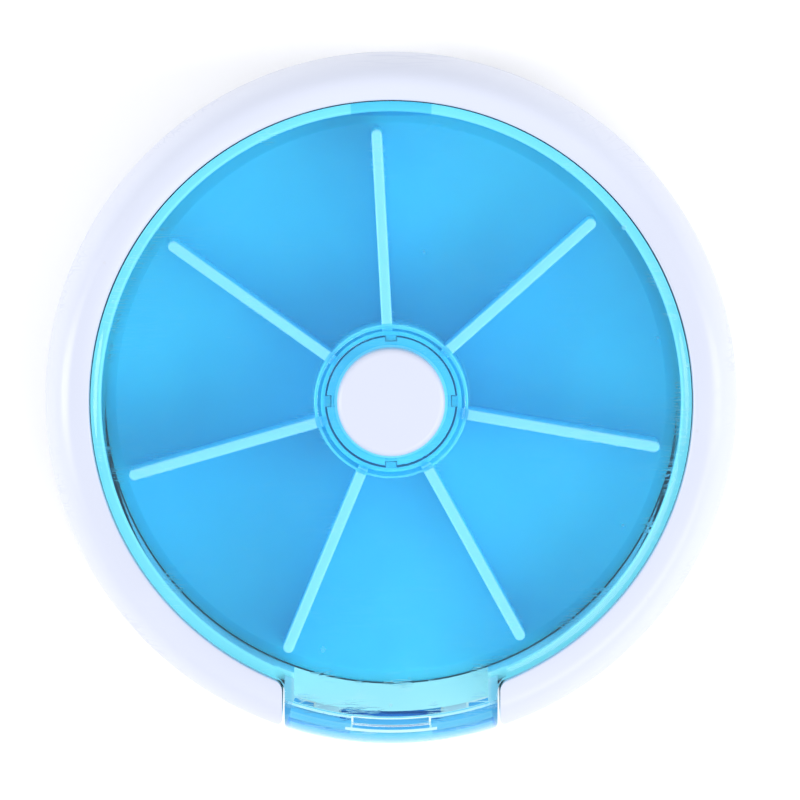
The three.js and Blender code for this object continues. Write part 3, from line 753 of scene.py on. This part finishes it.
def group_in(tree, group, **values):
    node = tree.nodes.new("ShaderNodeGroup")
    node.node_tree = group
    for name, value in values.items():
        node.inputs[name.replace("_", " ")].default_value = value
    return node


def bare_material(name):
    material = bpy.data.materials.new(name)
    material.use_nodes = True
    tree = material.node_tree
    return material, tree, tree.nodes["Principled BSDF"], tree.nodes["Material Output"]


def blend_of(tree, share, first, second):
    node = tree.nodes.new("ShaderNodeMix")
    node.data_type = "RGBA"
    colours = [s for s in node.inputs if s.type == "RGBA"]
    tree.links.new(share, node.inputs["Factor"])
    for socket, value in zip(colours, (first, second)):
        if hasattr(value, "is_output"):
            tree.links.new(value, socket)
        else:
            socket.default_value = (*value, 1.0)
    return [s for s in node.outputs if s.type == "RGBA"][0]


def bump_of(tree, height, strength, distance):
    node = node_of(tree, "ShaderNodeBump", Height=height, Strength=strength, Distance=distance)
    return node.outputs["Normal"]


# ---- Finishes --------------------------------------------------------------------------------

RIM_TINT = (0.42, 0.88, 0.98)
TAB_TINT = (0.20, 0.72, 0.93)
COLLAR_TINT = (0.36, 0.84, 0.97)
BAND_TINT = (0.22, 0.70, 1.0)
LEDGE_TINT = (0.10, 0.50, 0.93)
MARK_TINT = (0.86, 1.0, 1.0)
DUST_GREY = (0.5, 0.5, 0.54)
COLLAR_LIGHT_BLUE = (0.22, 0.66, 0.93)
PAINTED_BLUE_CAST = (0.68, 0.84, 0.87)
FLOOR_DEEP = (0.045, 0.535, 0.85)
FLOOR_PALE = (0.085, 0.615, 0.93)
DIVIDER_BLUE = (0.14, 0.62, 0.92)
LIT_TOP_BLUE = (0.46, 0.60, 0.86)
DUST_BLUE = (0.6, 0.85, 0.97)
PAINTED_GLOW = (0.01, 0.055, 0.065, 1.0)


def place_in(tree):
    """The place on the piece: its parts, its distance from the axis, its offset from the middle."""
    place = tree.nodes.new("ShaderNodeTexCoord").outputs["Object"]
    parts = node_of(tree, "ShaderNodeSeparateXYZ", Vector=place).outputs
    squares = [math_of(tree, "MULTIPLY", parts[axis], parts[axis]) for axis in ("X", "Y")]
    radius = math_of(tree, "SQRT", math_of(tree, "ADD", *squares))
    return parts, radius, math_of(tree, "ABSOLUTE", parts["X"])


def step_at(tree, value, start, end):
    """A mask that goes from 0 to 1 between two distances in millimetres."""
    return span_of(tree, value, start * MM, end * MM)


def painted_collar_light(tree, colour):
    """The button's flange, which lies under the lid's collar, is painted blue: painted blue light from the
    collar over it.
    """
    parts, _, _ = place_in(tree)
    below = step_at(tree, parts["Z"], FLANGE_TOP + 0.3, FLANGE_TOP + 0.1)
    return blend_of(tree, below, colour, COLLAR_LIGHT_BLUE)


def case_inside(tree, colour):
    """Painted blue light: white under the lid, inside the well and the neck, is painted light blue for the
    lid's blue cast.
    """
    parts, radius, _ = place_in(tree)
    inner = step_at(tree, radius, TONGUE_RADIUS + 0.15, TONGUE_RADIUS + 0.05)
    under = step_at(tree, parts["Z"], SKIRT - 0.1, SKIRT - 0.3)
    raised = step_at(tree, parts["Z"], 2.0, 2.4)
    where = math_of(tree, "MULTIPLY", math_of(tree, "MULTIPLY", inner, under), raised)
    return blend_of(tree, where, colour, PAINTED_BLUE_CAST)


def white_gloss(name, tone, shade, rough, zones):
    """Glossy white polystyrene with mould grain, dust and handling marks."""
    material, tree, skin, _ = bare_material(name)
    marks = group_in(tree, MARKS, Scratch_Scale=70.0, Speck_Scale=300.0, Patch_Scale=18.0)
    grain = group_in(tree, GRAIN, Peel_Scale=420.0, Grain_Scale=3000.0)
    toned = blend_of(tree, span_of(tree, marks.outputs["Patches"], 0.35, 0.7), tone, shade)
    dust = math_of(tree, "MULTIPLY", marks.outputs["Specks"], 0.25)
    dusty = blend_of(tree, dust, toned, DUST_GREY)
    tree.links.new(zones(tree, dusty), skin.inputs["Base Color"])
    worn = math_of(tree, "MULTIPLY", marks.outputs["Scratches"], 0.2)
    uneven = span_of(tree, marks.outputs["Patches"], 0.3, 0.75, rough, rough + 0.08)
    soft = math_of(tree, "ADD", uneven, worn)
    tree.links.new(soft, skin.inputs["Roughness"])
    tree.links.new(bump_of(tree, grain.outputs["Height"], 0.05, 0.00005), skin.inputs["Normal"])
    skin.inputs["IOR"].default_value = 1.5
    return material


def lid_zones(tree, colour):
    """Deeper blue where the lid is thick from top to bottom: its collar, rim and rear tab."""
    parts, radius, offset = place_in(tree)
    collar = step_at(tree, radius, 9.95, 9.75)
    rim = step_at(tree, radius, WELL - 0.15, WELL + 0.1)
    behind = step_at(tree, parts["Y"], -30, -29)
    beside = math_of(tree, "MAXIMUM", behind, step_at(tree, offset, NECK_HALF, NECK_HALF + 0.6))
    rear = step_at(tree, parts["Y"], WELL - 0.4, WELL - 0.2)
    tab = math_of(tree, "MULTIPLY", rear, step_at(tree, offset, HOOK_HALF + 0.1, HOOK_HALF - 0.1))
    colour = blend_of(tree, math_of(tree, "MULTIPLY", rim, beside), colour, RIM_TINT)
    colour = blend_of(tree, tab, colour, TAB_TINT)
    return blend_of(tree, collar, colour, COLLAR_TINT)


def door_zones(tree, colour):
    """Deeper blue along the upright lip bands and the ends, and pale on the rounded face."""
    parts, radius, offset = place_in(tree)
    lip = step_at(tree, radius, DOOR_INNER + DOOR_LIP, DOOR_INNER + DOOR_LIP - 0.1)
    ends = step_at(tree, offset, NECK_OUTER - 0.8, NECK_OUTER - 0.65)
    banded = blend_of(tree, math_of(tree, "MAXIMUM", lip, ends), colour, BAND_TINT)
    low_down = step_at(tree, parts["Z"], LEDGE_TOP + 0.2, LEDGE_TOP + 0.1)
    return blend_of(tree, math_of(tree, "MULTIPLY", lip, low_down), banded, LEDGE_TINT)


def clear_blue(name, tint, shade, rough, zones):
    """Clear tinted polystyrene, with hairlines and dust; light bends only on its way in."""
    material, tree, skin, out = bare_material(name)
    marks = group_in(tree, MARKS, Scratch_Scale=150.0, Speck_Scale=230.0, Patch_Scale=24.0)
    skin.inputs["Transmission Weight"].default_value = 1.0
    skin.inputs["IOR"].default_value = 1.46
    hazed = blend_of(tree, span_of(tree, marks.outputs["Patches"], 0.3, 0.75), tint, shade)
    zoned = zones(tree, hazed)
    hairlines = math_of(tree, "MULTIPLY", marks.outputs["Scratches"], 0.55)
    pale = math_of(tree, "MAXIMUM", hairlines, marks.outputs["Specks"])
    marked = blend_of(tree, pale, zoned, MARK_TINT)
    tree.links.new(marked, skin.inputs["Base Color"])
    dusty = math_of(tree, "MULTIPLY", marks.outputs["Specks"], 0.5)
    worn = math_of(tree, "MULTIPLY", marks.outputs["Scratches"], 0.22)
    soft = math_of(tree, "ADD", math_of(tree, "ADD", dusty, worn), rough)
    tree.links.new(soft, skin.inputs["Roughness"])
    waves = math_of(tree, "MULTIPLY", marks.outputs["Patches"], 0.6)
    grooves = math_of(tree, "MULTIPLY", marks.outputs["Scratches"], -0.2)
    ripple = math_of(tree, "ADD", waves, grooves)
    tree.links.new(bump_of(tree, ripple, 0.25, 0.00012), skin.inputs["Normal"])
    path = tree.nodes.new("ShaderNodeLightPath")
    surface = skin.outputs["BSDF"]
    for ray in ("Is Transmission Ray", "Is Shadow Ray", "Is Diffuse Ray"):
        through = tree.nodes.new("ShaderNodeBsdfTransparent")
        if ray == "Is Transmission Ray":
            once = node_of(tree, "ShaderNodeGamma", Color=zoned, Gamma=0.5)
            tree.links.new(once.outputs[0], through.inputs["Color"])
        else:
            through.inputs["Color"].default_value = (*[c ** 0.5 for c in tint], 1.0)
        mix = tree.nodes.new("ShaderNodeMixShader")
        tree.links.new(path.outputs[ray], mix.inputs[0])
        tree.links.new(surface, mix.inputs[1])
        tree.links.new(through.outputs[0], mix.inputs[2])
        surface = mix.outputs[0]
    tree.links.new(surface, out.inputs["Surface"])
    return material


def tray_blue(name):
    """Milky blue moulding: light spreads inside it; a faint painted glow lifts its shade, and painted
    light lightens its walls and divider tops.
    """
    material, tree, skin, _ = bare_material(name)
    place = tree.nodes.new("ShaderNodeTexCoord").outputs["Object"]
    height = node_of(tree, "ShaderNodeSeparateXYZ", Vector=place).outputs["Z"]
    marks = group_in(tree, MARKS, Scratch_Scale=60.0, Speck_Scale=240.0, Patch_Scale=32.0)
    grain = group_in(tree, GRAIN, Peel_Scale=380.0, Grain_Scale=2600.0)
    floor = blend_of(tree, span_of(tree, marks.outputs["Patches"], 0.35, 0.68), FLOOR_DEEP, FLOOR_PALE)
    # Painted light and shade: deeper blue down by the floor, lighter up the walls, palest on the divider
    # tops where light catches them.
    lighter_upwards = blend_of(tree, step_at(tree, height, 6.5, 21.2), floor, DIVIDER_BLUE)
    edges = blend_of(tree, step_at(tree, height, 20.3, 21.3), lighter_upwards, LIT_TOP_BLUE)
    dust = math_of(tree, "MULTIPLY", marks.outputs["Specks"], 0.35)
    dusty = blend_of(tree, dust, edges, DUST_BLUE)
    tree.links.new(dusty, skin.inputs["Base Color"])
    soft = math_of(tree, "ADD", math_of(tree, "MULTIPLY", marks.outputs["Scratches"], 0.2), 0.34)
    tree.links.new(soft, skin.inputs["Roughness"])
    tree.links.new(bump_of(tree, grain.outputs["Height"], 0.06, 0.00005), skin.inputs["Normal"])
    # Painted glow: a faint blue emission that lifts the shade in the compartments.
    skin.inputs["Emission Color"].default_value = PAINTED_GLOW
    skin.inputs["Emission Strength"].default_value = 1.0
    skin.inputs["Subsurface Weight"].default_value = 0.7
    skin.inputs["Subsurface Radius"].default_value = (0.5, 0.9, 1.0)
    skin.inputs["Subsurface Scale"].default_value = 0.0025
    return material


def natural_moulding(name):
    """Unpigmented acetal, slightly waxy, for the hidden index wheel."""
    material, tree, skin, _ = bare_material(name)
    marks = group_in(tree, MARKS, Scratch_Scale=80.0, Speck_Scale=260.0, Patch_Scale=60.0)
    grain = group_in(tree, GRAIN, Peel_Scale=600.0, Grain_Scale=3200.0)
    waxy = blend_of(tree, marks.outputs["Patches"], (0.86, 0.84, 0.76), (0.93, 0.92, 0.87))
    tree.links.new(waxy, skin.inputs["Base Color"])
    worn = math_of(tree, "MULTIPLY", marks.outputs["Scratches"], 0.2)
    tree.links.new(math_of(tree, "ADD", worn, 0.45), skin.inputs["Roughness"])
    tree.links.new(bump_of(tree, grain.outputs["Height"], 0.08, 0.00005), skin.inputs["Normal"])
    return material


def bright_steel(name, tone, rough, scale):
    """Plated steel with fine drawn lines."""
    material, tree, skin, _ = bare_material(name)
    marks = group_in(tree, MARKS, Scratch_Scale=scale, Speck_Scale=500.0, Patch_Scale=90.0)
    skin.inputs["Metallic"].default_value = 1.0
    dull = [0.8 * c for c in tone]
    tree.links.new(blend_of(tree, marks.outputs["Patches"], tone, dull), skin.inputs["Base Color"])
    lines = math_of(tree, "MULTIPLY", marks.outputs["Scratches"], 0.25)
    tree.links.new(math_of(tree, "ADD", lines, rough), skin.inputs["Roughness"])
    tree.links.new(bump_of(tree, marks.outputs["Scratches"], 0.1, 0.00004), skin.inputs["Normal"])
    return material


CASE_WHITE = white_gloss("case_white", (0.548, 0.58, 0.70), (0.575, 0.61, 0.73), 0.3, case_inside)
BUTTON_WHITE = white_gloss("button_white", (0.545, 0.578, 0.705), (0.57, 0.605, 0.73), 0.34, painted_collar_light)
LID_CLEAR = clear_blue("lid_clear", (0.60, 0.955, 0.995), (0.64, 0.965, 0.995), 0.03, lid_zones)
DOOR_CLEAR = clear_blue("door_clear", (0.80, 0.98, 1.0), (0.84, 0.985, 1.0), 0.04, door_zones)
TRAY_BLUE = tray_blue("tray_milky_blue")
COIL_STEEL = bright_steel("coil_spring_steel", (0.66, 0.68, 0.71), 0.22, 220.0)


def finish(piece, material):
    piece.data.materials.clear()
    piece.data.materials.append(material)


finish(ring, CASE_WHITE)
finish(pan, CASE_WHITE)
finish(button, BUTTON_WHITE)
finish(coil, COIL_STEEL)
finish(tray, TRAY_BLUE)
finish(lid, LID_CLEAR)
finish(door, DOOR_CLEAR)

hidden_finishes = {
    "index_wheel": natural_moulding("index_wheel_natural"),
    "spindle_screw": bright_steel("screw_zinc", (0.72, 0.74, 0.78), 0.3, 180.0),
    "spindle_washer": bright_steel("washer_nickel", (0.78, 0.79, 0.80), 0.24, 140.0),
    "index_spring": bright_steel("leaf_spring_steel", (0.62, 0.64, 0.68), 0.28, 160.0),
    "door_hinge_pin": bright_steel("hinge_pin_steel", (0.75, 0.77, 0.80), 0.2, 200.0),
}
for node, material in hidden_finishes.items():
    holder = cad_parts[node]
    for slot in holder.material_slots:
        slot.material = material


# ---- Places in the moving frame --------------------------------------------------------------

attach(ring, "housing")
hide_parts("ring_bezel")
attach(pan, "housing")
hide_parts("base_pan")
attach(tray, "tray")
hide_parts("tray")
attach(button, "button")
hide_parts("hub_button")
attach(coil, "tray")
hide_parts("button_spring")
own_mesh(coil)
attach(lid, "lid")
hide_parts("lid")
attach(door, "door")
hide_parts("front_door")


# ---- Floor, light and camera -----------------------------------------------------------------

def studio_floor():
    clear_selection()
    bpy.ops.mesh.primitive_plane_add(size=12.0, location=(0, 0, packed_box[0][2]))
    floor = settle("studio_floor")
    material, tree, skin, _ = bare_material("studio_paper")
    grain = group_in(tree, GRAIN, Peel_Scale=40.0, Grain_Scale=400.0)
    tree.links.new(bump_of(tree, grain.outputs["Height"], 0.02, 0.0002), skin.inputs["Normal"])
    skin.inputs["Base Color"].default_value = (0.95, 0.95, 0.95, 1.0)
    skin.inputs["Roughness"].default_value = 0.9
    finish(floor, material)


def softbox(name, place, wide, power, tall=None):
    """A round softbox, or a strip where it is given a second measure."""
    lamp = bpy.data.lights.new(name, "AREA")
    lamp.shape, lamp.size, lamp.energy = "ELLIPSE", wide, power
    lamp.size_y = tall or wide
    holder = bpy.data.objects.new(name, lamp)
    bpy.context.scene.collection.objects.link(holder)
    holder.location = place
    holder.rotation_euler = (-Vector(place)).to_track_quat("-Z", "Y").to_euler()
    holder.visible_camera = False


studio_floor()
softbox("key_softbox", (0.5, -0.5, 0.95), 0.7, 3.6)
softbox("left_strip", (-1.0, 0.0, 0.45), 0.35, 6.0, 1.3)
softbox("right_strip", (1.0, 0.0, 0.45), 0.35, 4.5, 1.3)

world = bpy.data.worlds.new("studio_air")
world.use_nodes = True
world.node_tree.nodes["Background"].inputs["Color"].default_value = (1.0, 1.0, 1.0, 1.0)
world.node_tree.nodes["Background"].inputs["Strength"].default_value = 0.92
bpy.context.scene.world = world
bpy.context.scene.view_settings.view_transform = "Standard"

FRAME_WIDTH = 0.10417
LEAN = math.radians(3.0)
DISTANCE = 2.0
AIM = Vector((0.00115, -0.00035, 0.0115))

lens = bpy.data.cameras.new("overhead_camera")
lens.sensor_width = 36.0
lens.lens = 36.0 * DISTANCE / FRAME_WIDTH
lens.clip_start, lens.clip_end = 0.01, 20.0
camera = bpy.data.objects.new("overhead_camera", lens)
bpy.context.scene.collection.objects.link(camera)
camera.location = AIM + Vector((0, math.sin(LEAN), math.cos(LEAN))) * DISTANCE
camera.rotation_euler = (-LEAN, 0, 0)
bpy.context.scene.camera = camera
